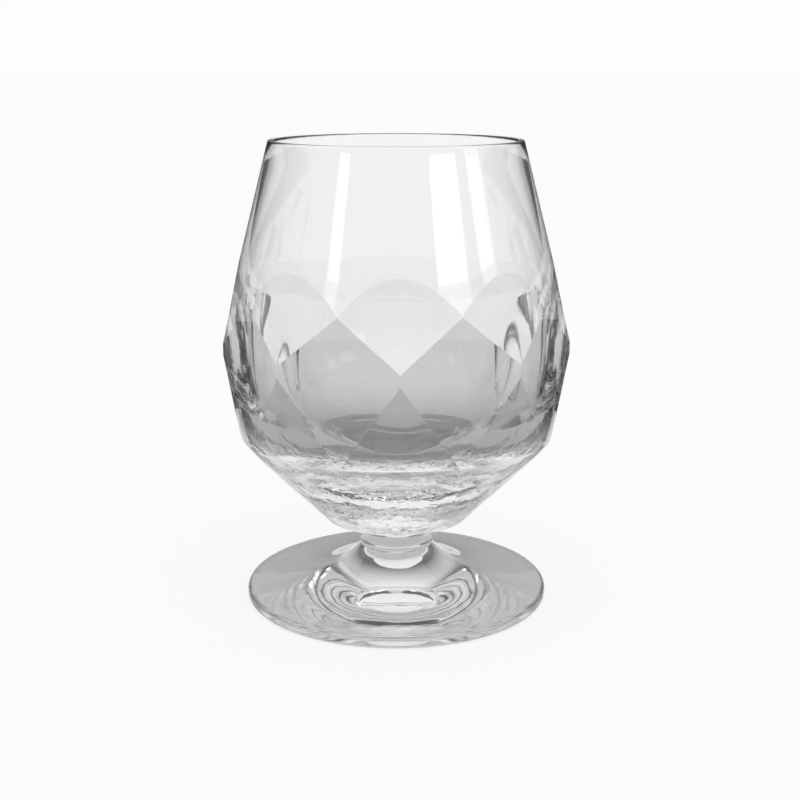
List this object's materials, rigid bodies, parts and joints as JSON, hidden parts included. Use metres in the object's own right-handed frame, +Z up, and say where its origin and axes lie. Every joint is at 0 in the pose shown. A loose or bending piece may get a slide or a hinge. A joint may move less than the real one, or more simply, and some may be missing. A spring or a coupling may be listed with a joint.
{
  "type": "rum glass",
  "caption": "Footed rum glass of clear cut glass: a tapering bowl with a faceted band of shields, diamonds and triangles, on a short stem and a round foot, for sipping spirits.",
  "frame": {"origin": "Centre of the foot's flat underside, on the axis of the glass.", "axes": "+Z up along the axis of the glass, from the foot to the mouth. -Y is the front, where a shield facet faces the viewer. +X is to the viewer's right."},
  "size_m": [0.0936, 0.0923, 0.1276],
  "materials": {
    "clear_glass": "polished, clear and colourless"
  },
  "bodies": {
    "root": {"bowl": "clear_glass", "stem": "clear_glass", "foot": "clear_glass"}
  },
  "joints": []
}
